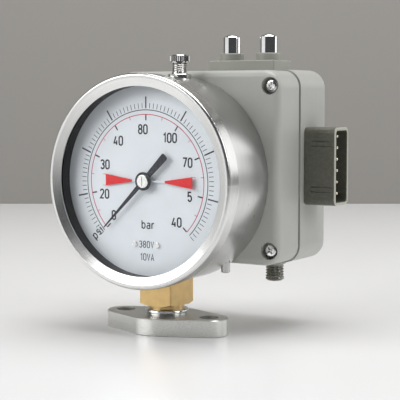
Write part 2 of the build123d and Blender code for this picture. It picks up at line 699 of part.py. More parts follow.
def box_base():
    shell = plate_y(box_outline(LIP), PARTING_REAR, BOX_REAR)
    shell = fillet(shell.edges().group_by(Axis.Y)[-1], 5.0)
    shell -= plate_y(box_outline(LIP - BOX_WALL), PARTING_REAR - 1, REAR_WALL)
    for x, z in cover_screw_places():
        shell += rod_y(COLUMN_R, PARTING_REAR, 52.0, x, z) & plate_y(box_outline(-1), PARTING_REAR, 60)
        shell -= rod_y(SCREW_R, PARTING_REAR - 1, 48.0, x, z)
    for x, z in board_screw_places():
        shell += rod_y(3.2, BOARD_LAYER[1], REAR_WALL + 0.5, x, z)
        shell -= rod_y(1.5, BOARD_LAYER[1] - 1, 63.5, x, z)
    shell -= plate_x(connector_outline(0), BASE_RIGHT - BOX_WALL - 1, BASE_RIGHT + 1)
    for x in BUTTON_X:
        shell -= rod_z(STEM_R + RUNNING, CEILING - 1, BASE_TOP + 1, x, BUTTON_Y)
    for x, y in plate_screw_places():
        shell -= rod_z(1.7, CEILING - 1, BASE_TOP + 1, x, y)
    return shell - rod_z(NIPPLE_R, BASE_BOTTOM - 1, BASE_BOTTOM + BOX_WALL + 1, *NIPPLE)


def box_gasket():
    ring = plate_y(box_outline(-0.8), PARTING_FRONT, PARTING_REAR)
    ring -= plate_y(box_outline(-BOX_WALL), PARTING_FRONT - 1, PARTING_REAR + 1)
    for x, z in cover_screw_places():
        ring += rod_y(4.2, PARTING_FRONT, PARTING_REAR, x, z)
        ring -= rod_y(SCREW_HOLE_R, PARTING_FRONT - 1, PARTING_REAR + 1, x, z)
    return ring


def pan_screw(x, z, y_head, head_r, head_h, shank_r, y_end):
    """A cross-recessed screw that points along +Y; y_head is the underside of its head."""
    head = rod_y(head_r, y_head - head_h, y_head, x, z)
    head = fillet(head.edges().group_by(Axis.Y)[0], head_h * 0.35)
    arm, depth = head_r * 0.55, head_h * 0.55
    front = y_head - head_h
    head -= block(x - arm, x + arm, front - 1, front + depth, z - SLOT_HALF, z + SLOT_HALF)
    head -= block(x - SLOT_HALF, x + SLOT_HALF, front - 1, front + depth, z - arm, z + arm)
    return head + rod_y(shank_r, y_head - 0.5, y_end, x, z)


def cover_screws():
    group = []
    for x, z in cover_screw_places():
        group.append(pan_screw(x, z, RECESS_FLOOR, SCREW_HEAD_R, SCREW_HEAD_T, SCREW_R, 47.5))
    return Compound(children=group)


def case_screws():
    """Heads inside the cover, so these point along -Y."""
    group = []
    for x, z in case_screw_places():
        seat = CASE_REAR + COVER_FACE
        screw = rod_y(SCREW_HEAD_R, seat, seat + SCREW_HEAD_T, x, z) + rod_y(SCREW_R, 5.5, seat, x, z)
        group.append(screw - block(x - 2, x + 2, seat + 1.4, seat + 3, z - SLOT_HALF, z + SLOT_HALF))
    return Compound(children=group)


def wire_grommet():
    back = CASE_REAR + COVER_FACE
    bore, neck, rim = GROMMET_HOLE_R - 2, GROMMET_HOLE_R, GROMMET_HOLE_R + 1.5
    return turned_y([(bore, CASE_FLOOR - 1), (rim, CASE_FLOOR - 1), (rim, CASE_FLOOR), (neck, CASE_FLOOR),
                     (neck, back), (rim, back), (rim, back + 1), (bore, back + 1)], *GROMMET)


# ---- electrics in the box ----
def control_board():
    board = plate_y(rounded(-30, 45, 46, 110, 2.0), *BOARD_LAYER)
    for x, z in board_screw_places():
        board -= rod_y(1.6, BOARD_LAYER[0] - 1, BOARD_LAYER[1] + 1, x, z)
    return board


def board_screws():
    group = []
    for x, z in board_screw_places():
        group.append(pan_screw(x, z, BOARD_LAYER[0], 2.75, 2.0, 1.5, 63.0))
    return Compound(children=group)


def relays():
    group = []
    for x in (-12.0, 8.0):
        case = block(x - 7.75, x + 7.75, 42.5, BOARD_LAYER[0], 82, 101)
        group.append(fillet(case.edges().group_by(Axis.Y)[0], 1.0))
    return Compound(children=group)


def terminal_block():
    low, length, ways = -22, 40, 6
    body = block(low, low + length, 46, BOARD_LAYER[0], 52, 63)
    for i in range(ways):
        x = low + length * (i + 0.5) / ways
        body -= rod_y(2.0, 45, 50, x, 59.5)
        body -= block(x - 2.2, x + 2.2, 49, 55, 51, 56)
    return body


def switch_bracket():
    x0, x1, sheet = -1, 44, 1.5
    shelf = block(x0, x1, 45, REAR_WALL, SHELF_Z - sheet, SHELF_Z)
    return shelf + block(x0, x1, REAR_WALL - sheet, REAR_WALL, SHELF_Z - 8, SHELF_Z)


def micro_switch(x):
    body = block(x - 9.9, x + 9.9, BUTTON_Y - 3.2, BUTTON_Y + 3.2, SHELF_Z, SHELF_Z + 7.1)
    body = chamfer(body.edges().filter_by(Axis.Z), 0.5)
    body += rod_z(1.2, SHELF_Z + 7, SHELF_Z + 7.8, x, BUTTON_Y)
    for tag_x in (x - 7.5, x, x + 7.5):
        body += block(tag_x - 1.6, tag_x + 1.6, BUTTON_Y + 3, BUTTON_Y + 8, SHELF_Z + 3.5, SHELF_Z + 4.0)
    return body


# ---- buttons ----
def button_plate():
    x0, x1, y0, y1 = BUTTON_PLATE
    plate = fillet(block(x0, x1, y0, y1, BASE_TOP, PLATE_TOP).edges().filter_by(Axis.Z), 0.6)
    plate = chamfer(plate.edges().group_by(Axis.Z)[-1], 0.4)
    for x in BUTTON_X:
        plate -= rod_z(BUTTON_R + RUNNING, BASE_TOP - 1, PLATE_TOP + 1, x, BUTTON_Y)
    for x, y in plate_screw_places():
        plate -= rod_z(1.5, BASE_TOP - 1, PLATE_TOP - 1.4, x, y)
    return plate


def plate_screws():
    group = []
    for x, y in plate_screw_places():
        shank = rod_z(1.5, CEILING, PLATE_TOP - 1.6, x, y)
        group.append(shank + rod_z(2.75, CEILING - 2, CEILING, x, y))
    return Compound(children=group)


def button_collars():
    group = []
    for x in BUTTON_X:
        collar = rod_z(COLLAR_R, PLATE_TOP, COLLAR_TOP, x, BUTTON_Y)
        collar = chamfer(collar.edges().group_by(Axis.Z)[-1], 0.4)
        group.append(collar - rod_z(BUTTON_R + RUNNING, PLATE_TOP - 1, COLLAR_TOP + 1, x, BUTTON_Y))
    return Compound(children=group)


def push_button(x):
    """Domed cap on a stem; the stem's flange stops under the box's ceiling."""
    shoulder = BUTTON_TOP - DOME_RISE
    ball_r = (BUTTON_R ** 2 + DOME_RISE ** 2) / (2 * DOME_RISE)
    ball = Pos(x, BUTTON_Y, BUTTON_TOP - ball_r) * Sphere(ball_r)
    dome = rod_z(BUTTON_R, shoulder - 0.5, BUTTON_TOP, x, BUTTON_Y) & ball
    body = turned_z([(0, 131.0), (STEM_R, 131.0), (STEM_R, 133.0), (2.6, 133.0), (2.6, 134.0), (STEM_R, 134.0),
                     (STEM_R, BUTTON_SEAT), (BUTTON_R, BUTTON_SEAT), (BUTTON_R, shoulder), (0, shoulder)],
                    x, BUTTON_Y)
    return body + dome


def button_spring(x):
    wire, turns = 0.25, 4
    low = BASE_TOP + wire + 0.02
    height = BUTTON_SEAT - BASE_TOP - 2 * wire - 0.04
    path = Helix(height / turns, height, 3.0)
    coil = sweep(Plane(path @ 0, z_dir=path % 0) * Circle(wire), path=path)
    return Pos(x, BUTTON_Y, low) * coil


# ---- connector and nipple ----
def pin_places():
    return [PIN_MIDDLE_Z + (k - (PIN_COUNT - 1) / 2) * PIN_PITCH for k in range(PIN_COUNT)]


def connector_shell():
    wall_in = BASE_RIGHT - BOX_WALL
    shell = plate_x(connector_outline(0), wall_in, CONN_MOUTH)
    shell = fillet(shell.edges().group_by(Axis.X)[-1], 0.4)
    shell += plate_x(connector_outline(2.0), wall_in - 2.4, wall_in)
    shell -= plate_x(connector_outline(-CONN_WALL), wall_in - 4, CONN_MOUTH + 1)
    for z in (98.5, 74.5):
        for offset_z in (-1.3, 1.3):
            middle = z + offset_z
            shell -= block(*CONN_GROOVES, CONN_Y[0] - 1, CONN_Y[0] + 0.35, middle - 0.3, middle + 0.3)
    return shell


def connector_pins():
    group = []
    for z in pin_places():
        pin = rod_x(PIN_R, 49.0, CONN_MOUTH - 1.2, PIN_Y, z)
        group.append(fillet(pin.edges().group_by(Axis.X)[-1], 0.6))
    return Compound(children=group)


def connector_insert():
    body = plate_x(connector_outline(-CONN_WALL), BASE_RIGHT - BOX_WALL - 3.0, BASE_RIGHT + 7.5)
    for z in pin_places():
        body -= rod_x(PIN_R, 40, 90, PIN_Y, z)
    return body


def cable_nipple():
    bottom = BASE_BOTTOM
    shoulder = bottom - 2.1
    return turned_z([(NIPPLE_BORE_R, NIPPLE_END), (NIPPLE_R - 0.9, NIPPLE_END), (NIPPLE_R, NIPPLE_END + 0.9),
                     (NIPPLE_R, shoulder), (NIPPLE_COLLAR_R, shoulder), (NIPPLE_COLLAR_R, bottom),
                     (NIPPLE_R, bottom), (NIPPLE_R, NIPPLE_TOP), (NIPPLE_BORE_R, NIPPLE_TOP)], *NIPPLE)


def nipple_locknut():
    low = BASE_BOTTOM + BOX_WALL
    nut = Pos(*NIPPLE, low) * extrude(RegularPolygon(7.0, 6, major_radius=False), 3.4)
    return nut - rod_z(NIPPLE_R, low - 1, low + 5, *NIPPLE)


NODES = {
    "flange_plate": flange_plate, "port_seal": port_seal, "spacer_ring": spacer_ring,
    "sealing_washer": sealing_washer, "socket_block": socket_block, "gauge_case": gauge_case,
    "case_stud": case_stud, "bezel_ring": bezel_ring, "window_glass": window_glass,
    "window_gasket": window_gasket, "inner_ring": inner_ring, "dial_plate": dial_plate,
    "dial_screws": dial_screws, "dial_standoffs": dial_standoffs, "pinion_arbor": pinion_arbor,
    "sector_gear": sector_gear, "link_rod": link_rod, "bourdon_tube": bourdon_tube, "tube_tip": tube_tip,
    "movement_front_plate": movement_front_plate, "movement_back_plate": movement_back_plate,
    "movement_screws": movement_screws, "movement_pillars": movement_pillars, "hairspring": hairspring,
    "pointer_bushing": pointer_bushing, "pointer": pointer, "pointer_cap": pointer_cap,
    "contact_arm": contact_arm, "low_set_pointer": low_set_pointer, "high_set_pointer": high_set_pointer,
    "low_contact_sleeve": low_contact_sleeve, "high_contact_sleeve": high_contact_sleeve,
    "vent_boss": vent_boss, "vent_stem": vent_stem, "vent_cap": vent_cap, "box_cover": box_cover,
    "box_base": box_base, "box_gasket": box_gasket, "cover_screws": cover_screws,
    "case_screws": case_screws, "wire_grommet": wire_grommet, "control_board": control_board,
    "board_screws": board_screws, "relays": relays, "terminal_block": terminal_block,
    "switch_bracket": switch_bracket, "test_switch": lambda: micro_switch(BUTTON_X[0]),
    "reset_switch": lambda: micro_switch(BUTTON_X[1]), "button_plate": button_plate,
    "plate_screws": plate_screws, "button_collars": button_collars,
    "test_button": lambda: push_button(BUTTON_X[0]), "reset_button": lambda: push_button(BUTTON_X[1]),
    "test_button_spring": lambda: button_spring(BUTTON_X[0]),
    "reset_button_spring": lambda: button_spring(BUTTON_X[1]),
    "connector_shell": connector_shell, "connector_pins": connector_pins,
    "connector_insert": connector_insert, "cable_nipple": cable_nipple, "nipple_locknut": nipple_locknut,
}

os.makedirs("parts", exist_ok=True)
for name, make in NODES.items():
    export_step(make(), f"parts/{name}.step")
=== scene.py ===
"""Looks of a dial pressure switch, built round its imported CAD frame.

Lengths are metres in the row frame: +Z is up, the dial faces -Y and the connector is at +X.
"""

import json
from math import cos, pi, radians, sin

import bmesh
import bpy
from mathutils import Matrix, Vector


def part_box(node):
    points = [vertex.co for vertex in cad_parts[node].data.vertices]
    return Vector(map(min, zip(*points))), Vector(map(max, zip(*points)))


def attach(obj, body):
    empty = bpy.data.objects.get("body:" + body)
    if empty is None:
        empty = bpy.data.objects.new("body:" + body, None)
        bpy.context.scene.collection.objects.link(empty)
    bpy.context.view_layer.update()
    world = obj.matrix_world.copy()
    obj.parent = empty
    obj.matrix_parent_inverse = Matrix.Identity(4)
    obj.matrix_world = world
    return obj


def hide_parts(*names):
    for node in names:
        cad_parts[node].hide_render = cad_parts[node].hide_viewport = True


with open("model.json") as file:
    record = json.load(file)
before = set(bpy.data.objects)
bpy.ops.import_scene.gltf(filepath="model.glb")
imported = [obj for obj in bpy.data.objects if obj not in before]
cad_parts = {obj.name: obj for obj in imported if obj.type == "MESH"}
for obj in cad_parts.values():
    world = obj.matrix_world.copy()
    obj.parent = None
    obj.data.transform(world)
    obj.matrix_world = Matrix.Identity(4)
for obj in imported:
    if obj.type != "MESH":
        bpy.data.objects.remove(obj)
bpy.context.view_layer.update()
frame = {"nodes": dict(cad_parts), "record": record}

MM = 0.001
BEZEL_LOW, BEZEL_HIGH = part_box("bezel_ring")
AXIS_X = (BEZEL_LOW.x + BEZEL_HIGH.x) / 2
AXIS_Z = (BEZEL_LOW.z + BEZEL_HIGH.z) / 2
DIAL_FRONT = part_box("dial_plate")[0].y
DIAL_SCREW_Z = (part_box("dial_screws")[0].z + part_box("dial_screws")[1].z) / 2
MOUNTS = {mount["name"]: mount for mount in frame["record"]["mounts"]}


# ---- material building ----
class Finish:
    """A node material whose colour, roughness and surface relief come from procedural textures."""

    def __init__(self, name, colour, roughness, metallic=0.0, **constants):
        self.material = bpy.data.materials.new(name)
        self.material.use_nodes = True
        self.tree = self.material.node_tree
        self.shader = self.tree.nodes["Principled BSDF"]
        self.shader.inputs["Base Color"].default_value = (*colour, 1.0)
        self.shader.inputs["Roughness"].default_value = roughness
        self.shader.inputs["Metallic"].default_value = metallic
        self.colour = colour
        self.roughness = roughness
        self.relief = None
        for key, value in constants.items():
            self.shader.inputs[key.replace("_", " ")].default_value = value

    def node(self, kind, **settings):
        made = self.tree.nodes.new(kind)
        for key, value in settings.items():
            setattr(made, key, value)
        return made

    def wire(self, source, target):
        self.tree.links.new(source, target)

    def maths(self, operation, first, second=0.0):
        made = self.node("ShaderNodeMath", operation=operation)
        for socket, value in zip(made.inputs, (first, second)):
            if isinstance(value, (int, float)):
                socket.default_value = value
            else:
                self.wire(value, socket)
        return made.outputs[0]

    def place(self, stretch=(1, 1, 1)):
        """Points of the surface in metres, stretched along the axes."""
        coordinates = self.node("ShaderNodeTexCoord")
        mapping = self.node("ShaderNodeMapping")
        mapping.inputs["Scale"].default_value = stretch
        self.wire(coordinates.outputs["Object"], mapping.inputs["Vector"])
        return mapping.outputs["Vector"]

    def turned_place(self, along=1.0, across=1.0, x=0.0, z=0.0):
        """Points as (distance from an axis along Y, place along it, angle times along)."""
        coordinates = self.node("ShaderNodeTexCoord")
        parts = self.node("ShaderNodeSeparateXYZ")
        self.wire(coordinates.outputs["Object"], parts.inputs[0])
        dx = self.maths("SUBTRACT", parts.outputs["X"], x)
        dz = self.maths("SUBTRACT", parts.outputs["Z"], z)
        square = self.maths("ADD", self.maths("MULTIPLY", dx, dx), self.maths("MULTIPLY", dz, dz))
        radius = self.maths("SQRT", square)
        angle = self.maths("ARCTAN2", dz, dx)
        joined = self.node("ShaderNodeCombineXYZ")
        self.wire(self.maths("MULTIPLY", radius, across), joined.inputs["X"])
        self.wire(self.maths("MULTIPLY", parts.outputs["Y"], across), joined.inputs["Y"])
        self.wire(self.maths("MULTIPLY", angle, along), joined.inputs["Z"])
        return joined.outputs[0]

    def noise(self, size, detail=2.0, place=None, stretch=(1, 1, 1), distortion=0.0):
        """Noise from 0 to 1 with features of about this size in metres."""
        texture = self.node("ShaderNodeTexNoise")
        texture.inputs["Scale"].default_value = 1 / size
        texture.inputs["Detail"].default_value = detail
        texture.inputs["Distortion"].default_value = distortion
        self.wire(place or self.place(stretch), texture.inputs["Vector"])
        return texture.outputs["Fac"]

    def tint(self, factor, dark, light, low=0.3, high=0.7):
        """Colour that runs between two shades of the base colour, given as multiples."""
        ramp = self.node("ShaderNodeValToRGB")
        ends = ramp.color_ramp.elements
        ends[0].position = low
        ends[1].position = high
        ends[0].color = (*(c * dark for c in self.colour), 1.0)
        ends[1].color = (*(min(c * light, 1.0) for c in self.colour), 1.0)
        self.wire(factor, ramp.inputs["Fac"])
        self.wire(ramp.outputs["Color"], self.shader.inputs["Base Color"])
        return self

    def sheen_of(self, factor, spread):
        """Roughness that wanders by this much on each side of the base value."""
        spread_map = self.node("ShaderNodeMapRange")
        spread_map.inputs["From Min"].default_value = 0.25
        spread_map.inputs["From Max"].default_value = 0.75
        spread_map.inputs["To Min"].default_value = self.roughness - spread
        spread_map.inputs["To Max"].default_value = self.roughness + spread
        self.wire(factor, spread_map.inputs["Value"])
        self.wire(spread_map.outputs["Result"], self.shader.inputs["Roughness"])
        return self

    def bump(self, factor, depth, strength=1.0):
        """Relief this deep in metres; a second call adds to the first."""
        made = self.node("ShaderNodeBump")
        made.inputs["Distance"].default_value = depth
        made.inputs["Strength"].default_value = strength
        self.wire(factor, made.inputs["Height"])
        if self.relief is not None:
            self.wire(self.relief, made.inputs["Normal"])
        self.relief = made.outputs["Normal"]
        self.wire(self.relief, self.shader.inputs["Normal"])
        return self

    def brushed_round(self, axis):
        """Reflections drawn out across brush lines that run round an axis."""
        tangent = self.node("ShaderNodeTangent", direction_type="RADIAL", axis=axis)
        self.wire(tangent.outputs["Tangent"], self.shader.inputs["Tangent"])
        return self


# ---- materials ----
# How far the connector's pale rim band wanders: the band is a painted edge highlight as well as rubbed wear.
RIM_WEAR_AND_HIGHLIGHT_WANDER = 0.35 * MM


def turned_steel(name, colour, roughness, anisotropic):
    """Stainless steel turned on a lathe about the gauge's axis: fine lines run round it."""
    finish = Finish(name, colour, roughness, 1.0, Anisotropic=anisotropic)
    lines = finish.noise(1.0, 3.0, finish.turned_place(3.0, 1 / (0.35 * MM), AXIS_X, AXIS_Z))
    clouds = finish.noise(14 * MM, 3.0)
    finish.tint(lines, 0.93, 1.05)
    finish.sheen_of(clouds, 0.035)
    finish.bump(lines, 0.004 * MM)
    return finish.brushed_round("Y").material


def brushed_steel(name, colour, roughness, stretch, grain=0.3 * MM):
    """Steel with straight brush lines; the stretch is small along them."""
    finish = Finish(name, colour, roughness, 1.0)
    lines = finish.noise(grain, 3.0, stretch=stretch)
    clouds = finish.noise(9 * MM, 2.0)
    finish.tint(lines, 0.86, 1.08)
    finish.sheen_of(clouds, 0.05)
    finish.bump(lines, 0.006 * MM)
    return finish.material


def plated(name, colour, roughness):
    """Bright plating with a faint waviness."""
    finish = Finish(name, colour, roughness, 1.0)
    finish.sheen_of(finish.noise(0.5 * MM, 3.0), roughness * 0.5)
    finish.tint(finish.noise(3 * MM, 2.0), 0.94, 1.03)
    finish.bump(finish.noise(2.5 * MM, 1.0), 0.004 * MM)
    return finish.material


def machined_brass(name, colour, roughness, stretch):
    finish = Finish(name, colour, roughness, 1.0)
    lines = finish.noise(0.35 * MM, 3.0, stretch=stretch)
    finish.tint(finish.noise(5 * MM, 3.0), 0.92, 1.06)
    finish.sheen_of(lines, 0.06)
    finish.bump(lines, 0.005 * MM)
    return finish.material


def cast_paint(name, colour, roughness):
    """Satin paint on a casting: a fine orange peel over faint hollows of the metal below."""
    finish = Finish(name, colour, roughness, 0.0, Coat_Weight=0.12, Coat_Roughness=0.35)
    peel = finish.noise(0.55 * MM, 2.0)
    hollows = finish.noise(6 * MM, 2.0)
    finish.tint(finish.noise(16 * MM, 4.0), 0.965, 1.03)
    finish.sheen_of(finish.noise(2.2 * MM, 3.0), 0.05)
    finish.bump(hollows, 0.02 * MM)
    finish.bump(peel, 0.007 * MM)
    return finish.material


def moulded_plastic(name, colour, roughness, grain=0.35 * MM, speckle=0.85):
    finish = Finish(name, colour, roughness, 0.0)
    spark = finish.noise(grain, 3.0)
    finish.tint(finish.noise(1.6 * MM, 4.0), speckle, 2 - speckle)
    finish.sheen_of(spark, 0.08)
    finish.bump(spark, 0.012 * MM)
    return finish.material


def plastic_with_rim_wear_and_highlight(name, colour, rim_wear_and_highlight_colour, rim_wear_and_highlight_x, roughness):
    """Moulded plastic with a pale band on the rim of its mouth, beyond the given x: partly rubbed wear,
    partly a painted highlight of the rim's edge.
    """
    finish = Finish(name, colour, roughness, 0.0)
    parts = finish.node("ShaderNodeSeparateXYZ")
    finish.wire(finish.place(), parts.inputs[0])
    wander = finish.maths("MULTIPLY", finish.noise(1.2 * MM, 2.0), RIM_WEAR_AND_HIGHLIGHT_WANDER)
    reach = finish.maths("ADD", parts.outputs["X"], wander)
    # Mask of the pale rim band: a painted highlight of the mouth's edge, with some rubbed wear.
    rim_wear_and_highlight_band = finish.node("ShaderNodeMapRange")
    rim_wear_and_highlight_band.inputs["From Min"].default_value = rim_wear_and_highlight_x
    rim_wear_and_highlight_band.inputs["From Max"].default_value = rim_wear_and_highlight_x + RIM_WEAR_AND_HIGHLIGHT_WANDER
    finish.wire(reach, rim_wear_and_highlight_band.inputs["Value"])
    finish.tint(finish.noise(1.6 * MM, 4.0), 0.85, 1.15)
    blend = finish.node("ShaderNodeMix", data_type="RGBA")
    finish.wire(rim_wear_and_highlight_band.outputs["Result"], blend.inputs["Factor"])
    finish.wire(finish.shader.inputs["Base Color"].links[0].from_socket, blend.inputs["A"])
    blend.inputs["B"].default_value = (*rim_wear_and_highlight_colour, 1.0)
    finish.wire(blend.outputs["Result"], finish.shader.inputs["Base Color"])
    finish.sheen_of(finish.noise(0.35 * MM, 3.0), 0.08)
    finish.bump(finish.noise(0.35 * MM, 3.0), 0.012 * MM)
    return finish.material


def lacquer(name, colour, roughness):
    """Smooth lacquer or print with a slightly uneven gloss."""
    finish = Finish(name, colour, roughness)
    finish.tint(finish.noise(9 * MM, 3.0), 0.975, 1.02)
    finish.sheen_of(finish.noise(0.8 * MM, 2.0), 0.05)
    finish.bump(finish.noise(0.25 * MM, 2.0), 0.002 * MM)
    return finish.material


def rubber(name, colour):
    finish = Finish(name, colour, 0.62, 0.0)
    finish.tint(finish.noise(2.5 * MM, 3.0), 0.8, 1.25)
    finish.sheen_of(finish.noise(1.1 * MM, 2.0), 0.1)
    finish.bump(finish.noise(0.3 * MM, 3.0), 0.02 * MM)
    return finish.material


def solder_mask(name):
    """Green board lacquer over copper tracks that show as slightly raised, lighter lines."""
    finish = Finish(name, (0.02, 0.16, 0.06), 0.3, 0.0, Coat_Weight=0.5)
    brick = finish.node("ShaderNodeTexBrick")
    brick.inputs["Scale"].default_value = 1 / (9 * MM)
    brick.inputs["Mortar Size"].default_value = 0.05
    brick.inputs["Color1"].default_value = (0, 0, 0, 1)
    brick.inputs["Color2"].default_value = (0, 0, 0, 1)
    brick.inputs["Mortar"].default_value = (1, 1, 1, 1)
    swap = finish.node("ShaderNodeMapping")
    swap.inputs["Rotation"].default_value = (pi / 2, 0, 0)
    finish.wire(finish.place(), swap.inputs["Vector"])
    finish.wire(swap.outputs["Vector"], brick.inputs["Vector"])
    finish.tint(brick.outputs["Color"], 0.8, 1.7)
    finish.sheen_of(finish.noise(1.5 * MM, 2.0), 0.06)
    finish.bump(brick.outputs["Color"], 0.03 * MM)
    return finish.material


def window_pane(name):
    """Clear flat glass with a low-reflection finish; a trace of dust dulls it unevenly."""
    finish = Finish(name, (0.985, 0.992, 0.995), 0.02, 0.0, Transmission_Weight=1.0, IOR=1.12)
    finish.sheen_of(finish.noise(25 * MM, 3.0), 0.012)
    return finish.material


CASE_STEEL = turned_steel("case_steel_finish", (0.60, 0.60, 0.595), 0.30, 0.55)
BEZEL_STEEL = turned_steel("bezel_steel_finish", (0.66, 0.66, 0.65), 0.24, 0.45)
FLANGE_STEEL = brushed_steel("flange_steel_finish", (0.78, 0.78, 0.75), 0.34, (0.05, 1, 1))
STUD_STEEL = brushed_steel("stud_steel_finish", (0.62, 0.62, 0.60), 0.24, (1, 1, 0.05))
FASTENER_STEEL = plated("fastener_steel_finish", (0.70, 0.70, 0.69), 0.12)
NICKEL = plated("nickel_finish", (0.74, 0.735, 0.72), 0.10)
THREAD_NICKEL = plated("thread_nickel_finish", (0.62, 0.615, 0.60), 0.16)
CHROME = plated("chrome_finish", (0.80, 0.80, 0.80), 0.06)
GUNMETAL = plated("gunmetal_finish", (0.27, 0.27, 0.24), 0.24)
SOCKET_BRASS = machined_brass("socket_brass_finish", (0.60, 0.42, 0.19), 0.34, (1, 1, 0.04))
MOVEMENT_BRASS = machined_brass("movement_brass_finish", (0.70, 0.52, 0.26), 0.30, (0.06, 1, 1))
SPRING_STEEL = brushed_steel("spring_steel_finish", (0.50, 0.50, 0.50), 0.28, (1, 1, 1), 0.8 * MM)
HOUSING_PAINT = cast_paint("housing_paint_finish", (0.445, 0.45, 0.42), 0.42)
PLATE_PAINT = cast_paint("plate_paint_finish", (0.335, 0.34, 0.30), 0.40)
DIAL_LACQUER = lacquer("dial_face_finish", (0.68, 0.715, 0.75), 0.45)
SLEEVE_LACQUER = lacquer("sleeve_lacquer_finish", (0.66, 0.69, 0.72), 0.5)
DIAL_INK = lacquer("dial_ink_finish", (0.012, 0.013, 0.02), 0.5)
DIAL_RED_INK = lacquer("dial_red_ink_finish", (0.50, 0.03, 0.07), 0.5)
POINTER_BLACK = lacquer("pointer_black_finish", (0.012, 0.014, 0.022), 0.38)
POINTER_RED = lacquer("pointer_red_finish", (0.66, 0.006, 0.010), 0.45)
BLACK_PLASTIC = moulded_plastic("black_plastic_finish", (0.006, 0.006, 0.007), 0.40)
# The connector's pale rim colour is a painted edge highlight, partly rubbed wear.
CONNECTOR_PLASTIC = plastic_with_rim_wear_and_highlight("connector_plastic_finish", (0.115, 0.115, 0.092), (0.46, 0.46, 0.39),
                                   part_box("connector_shell")[1].x - RIM_WEAR_AND_HIGHLIGHT_WANDER, 0.36)
INSERT_PLASTIC = moulded_plastic("insert_plastic_finish", (0.03, 0.028, 0.024), 0.45, 0.5 * MM, 0.4)
PIN_METAL = plated("pin_metal_finish", (0.80, 0.74, 0.58), 0.22)
BOARD_GREEN = solder_mask("board_green_finish")
RELAY_PLASTIC = moulded_plastic("relay_plastic_finish", (0.03, 0.06, 0.16), 0.35)
RUBBER = rubber("rubber_black_finish", (0.022, 0.022, 0.022))
WINDOW = window_pane("window_finish")

NODE_FINISHES = {
    CASE_STEEL: ["gauge_case"],
    BEZEL_STEEL: ["bezel_ring"],
    FLANGE_STEEL: ["flange_plate"],
    STUD_STEEL: ["case_stud"],
    FASTENER_STEEL: ["cover_screws", "case_screws", "plate_screws", "board_screws", "movement_screws",
                     "nipple_locknut", "spacer_ring", "switch_bracket"],
    NICKEL: ["dial_screws", "pointer_cap", "vent_boss", "vent_cap", "vent_stem"],
    CHROME: ["test_button", "reset_button", "sealing_washer"],
    SOCKET_BRASS: ["socket_block"],
    MOVEMENT_BRASS: ["dial_standoffs", "movement_front_plate", "movement_back_plate", "movement_pillars",
                     "sector_gear", "link_rod", "tube_tip", "bourdon_tube", "pointer_bushing", "contact_arm"],
    SLEEVE_LACQUER: ["low_contact_sleeve", "high_contact_sleeve"],
    SPRING_STEEL: ["hairspring", "pinion_arbor", "test_button_spring", "reset_button_spring"],
    HOUSING_PAINT: ["box_cover", "box_base"],
    PLATE_PAINT: ["button_plate", "button_collars"],
    DIAL_LACQUER: ["dial_plate"],
    POINTER_BLACK: ["pointer"],
    POINTER_RED: ["low_set_pointer", "high_set_pointer"],
    BLACK_PLASTIC: ["inner_ring", "test_switch", "reset_switch", "terminal_block"],
    CONNECTOR_PLASTIC: ["connector_shell"],
    INSERT_PLASTIC: ["connector_insert"],
    PIN_METAL: ["connector_pins"],
    GUNMETAL: ["cable_nipple"],
    BOARD_GREEN: ["control_board"],
    RELAY_PLASTIC: ["relays"],
    RUBBER: ["port_seal", "window_gasket", "box_gasket", "wire_grommet"],
    WINDOW: ["window_glass"],
}


def dress_cad_nodes():
    dressed = set()
    for material, names in NODE_FINISHES.items():
        for name in names:
            mesh = frame["nodes"][name].data
            mesh.materials.clear()
            mesh.materials.append(material)
            dressed.add(name)
    bare = sorted(set(frame["nodes"]) - dressed)
    if bare:
        raise ValueError(f"CAD nodes with no finish: {bare}")
    frame["nodes"]["window_glass"].visible_shadow = False


# ---- mesh building ----
def add_piece(name, build, material, body, replaced=()):
    """A piece whose mesh build(bm) makes in the row frame; it rides on a CAD body."""
    bm = bmesh.new()
    build(bm)
    bmesh.ops.recalc_face_normals(bm, faces=bm.faces)
    mesh = bpy.data.meshes.new(name)
    bm.to_mesh(mesh)
    bm.free()
    mesh.materials.append(material)
    piece = bpy.data.objects.new(name, mesh)
    bpy.context.scene.collection.objects.link(piece)
    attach(piece, body)
    if replaced:
        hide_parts(*replaced)
    return piece


def smooth_by_angle(piece, degrees):
    piece.data.shade_smooth()
    piece.data.set_sharp_from_angle(angle=radians(degrees))
    return piece


def loft(bm, rings, closed=False, caps=True):
    """Joins rings of points, each with the same number of points, by quads."""
    rows = [[bm.verts.new(p) for p in ring] for ring in rings]
    count = len(rows[0])
    last = len(rows) if closed else len(rows) - 1
    for i in range(last):
        low, high = rows[i], rows[(i + 1) % len(rows)]
        for k in range(count):
            bm.faces.new((low[k], low[(k + 1) % count], high[(k + 1) % count], high[k]))
    if caps and not closed:
        bm.faces.new(reversed(rows[0]))
        bm.faces.new(rows[-1])


def raised(bm, outline, back, front):
    """A flat outline of (x, z) points on the dial as a closed slab from back to front along Y."""
    rear = [bm.verts.new((x, back, z)) for x, z in outline]
    face = [bm.verts.new((x, front, z)) for x, z in outline]
    count = len(outline)
    bm.faces.new(rear)
    bm.faces.new(reversed(face))
    for k in range(count):
        bm.faces.new((rear[k], face[k], face[(k + 1) % count], rear[(k + 1) % count]))


